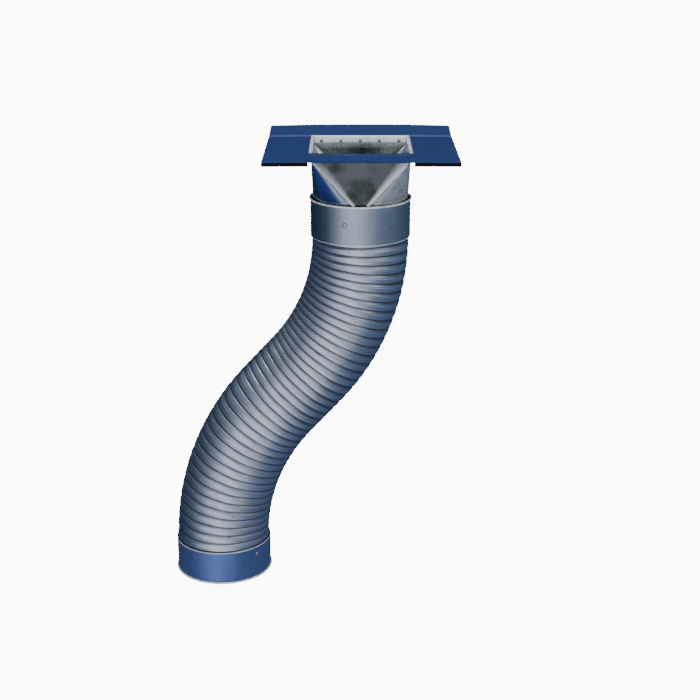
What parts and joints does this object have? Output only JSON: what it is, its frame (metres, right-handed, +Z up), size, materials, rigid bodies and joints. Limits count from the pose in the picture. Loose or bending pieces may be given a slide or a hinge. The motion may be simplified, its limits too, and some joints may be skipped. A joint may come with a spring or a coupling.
{
  "type": "flanged vent duct adaptor",
  "caption": "Folded flange plate with a square-to-round throat, a beaded collar, an S-bent semi-rigid corrugated duct and a beaded outlet collar.",
  "frame": {"origin": "middle of the square throat opening, in the plane of the flange's underside", "axes": "+Z up out of the throat, +X away from the side that the duct is bent to, +Y towards the flange's folded-up back strip"},
  "size_m": [0.3693, 0.2306, 0.5856],
  "materials": {
    "blue_coated_sheet": "smooth deep blue coat on folded sheet steel",
    "bright_tinned_sheet": "bright tinned sheet, soft creases and faint blotches",
    "grey_galvanised_sheet": "satin blue-grey galvanised sheet",
    "duct_sheet": "corrugated blue-grey sheet with fine scratches along the ribs",
    "blue_steel_collar": "satin steel-blue coat, bright at the rolled bead",
    "rivet_steel": "dull pressed rivet heads"
  },
  "bodies": {
    "flange_and_throat": {"flange_plate": "blue_coated_sheet", "throat_front_half": "bright_tinned_sheet", "throat_rear_half": "bright_tinned_sheet", "throat_seam_rivets": "rivet_steel", "neck_rivets": "rivet_steel", "top_collar": "grey_galvanised_sheet", "spigot_band": "grey_galvanised_sheet", "top_collar_rivets": "rivet_steel", "duct_upper_end": "duct_sheet"},
    "upper_section_1": {"duct_upper_section_1": "duct_sheet"},
    "upper_section_2": {"duct_upper_section_2": "duct_sheet"},
    "upper_section_3": {"duct_upper_section_3": "duct_sheet"},
    "upper_section_4": {"duct_upper_section_4": "duct_sheet"},
    "upper_section_5": {"duct_upper_section_5": "duct_sheet"},
    "middle_section": {"duct_middle_section": "duct_sheet"},
    "lower_section_1": {"duct_lower_section_1": "duct_sheet"},
    "lower_section_2": {"duct_lower_section_2": "duct_sheet"},
    "lower_section_3": {"duct_lower_section_3": "duct_sheet"},
    "lower_section_4": {"duct_lower_section_4": "duct_sheet"},
    "lower_section_5": {"duct_lower_section_5": "duct_sheet"},
    "outlet": {"duct_lower_end": "duct_sheet", "outlet_sleeve": "grey_galvanised_sheet", "outlet_collar": "blue_steel_collar", "outlet_collar_rivets": "rivet_steel"}
  },
  "joints": [
    {"name": "upper_bend", "type": "hinge", "parent": "flange_and_throat", "child": "upper_section_1", "pos_m": [0, 0, -0.13425], "axis": [0, 1, 0], "range_deg": [-7.17, 2.83]},
    {"name": "upper_bend_2", "type": "hinge", "parent": "upper_section_1", "child": "upper_section_2", "pos_m": [-0.00406, 0, -0.16656], "axis": [0, 1, 0], "range_deg": [-7.17, 2.83]},
    {"name": "upper_bend_3", "type": "hinge", "parent": "upper_section_2", "child": "upper_section_3", "pos_m": [-0.01212, 0, -0.19811], "axis": [0, 1, 0], "range_deg": [-7.17, 2.83]},
    {"name": "upper_bend_4", "type": "hinge", "parent": "upper_section_3", "child": "upper_section_4", "pos_m": [-0.02406, 0, -0.2284], "axis": [0, 1, 0], "range_deg": [-7.17, 2.83]},
    {"name": "upper_bend_5", "type": "hinge", "parent": "upper_section_4", "child": "upper_section_5", "pos_m": [-0.03968, 0, -0.25698], "axis": [0, 1, 0], "range_deg": [-7.17, 2.83]},
    {"name": "upper_bend_6", "type": "hinge", "parent": "upper_section_5", "child": "middle_section", "pos_m": [-0.05874, 0, -0.28338], "axis": [0, 1, 0], "range_deg": [-7.17, 2.83]},
    {"name": "lower_bend", "type": "hinge", "parent": "middle_section", "child": "lower_section_1", "pos_m": [-0.12015, 0, -0.34923], "axis": [0, -1, 0], "range_deg": [-7.17, 2.83]},
    {"name": "lower_bend_2", "type": "hinge", "parent": "lower_section_1", "child": "lower_section_2", "pos_m": [-0.14142, 0, -0.37868], "axis": [0, -1, 0], "range_deg": [-7.17, 2.83]},
    {"name": "lower_bend_3", "type": "hinge", "parent": "lower_section_2", "child": "lower_section_3", "pos_m": [-0.15884, 0, -0.41055], "axis": [0, -1, 0], "range_deg": [-7.17, 2.83]},
    {"name": "lower_bend_4", "type": "hinge", "parent": "lower_section_3", "child": "lower_section_4", "pos_m": [-0.17215, 0, -0.44434], "axis": [0, -1, 0], "range_deg": [-7.17, 2.83]},
    {"name": "lower_bend_5", "type": "hinge", "parent": "lower_section_4", "child": "lower_section_5", "pos_m": [-0.18114, 0, -0.47953], "axis": [0, -1, 0], "range_deg": [-7.17, 2.83]},
    {"name": "lower_bend_6", "type": "hinge", "parent": "lower_section_5", "child": "outlet", "pos_m": [-0.18568, 0, -0.51557], "axis": [0, -1, 0], "range_deg": [-7.17, 2.83]}
  ],
  "couplings": [
    {"joint": "upper_bend_2", "follows": "upper_bend", "ratio": 1},
    {"joint": "upper_bend_3", "follows": "upper_bend", "ratio": 1},
    {"joint": "upper_bend_4", "follows": "upper_bend", "ratio": 1},
    {"joint": "upper_bend_5", "follows": "upper_bend", "ratio": 1},
    {"joint": "upper_bend_6", "follows": "upper_bend", "ratio": 1},
    {"joint": "lower_bend_2", "follows": "lower_bend", "ratio": 1},
    {"joint": "lower_bend_3", "follows": "lower_bend", "ratio": 1},
    {"joint": "lower_bend_4", "follows": "lower_bend", "ratio": 1},
    {"joint": "lower_bend_5", "follows": "lower_bend", "ratio": 1},
    {"joint": "lower_bend_6", "follows": "lower_bend", "ratio": 1}
  ]
}
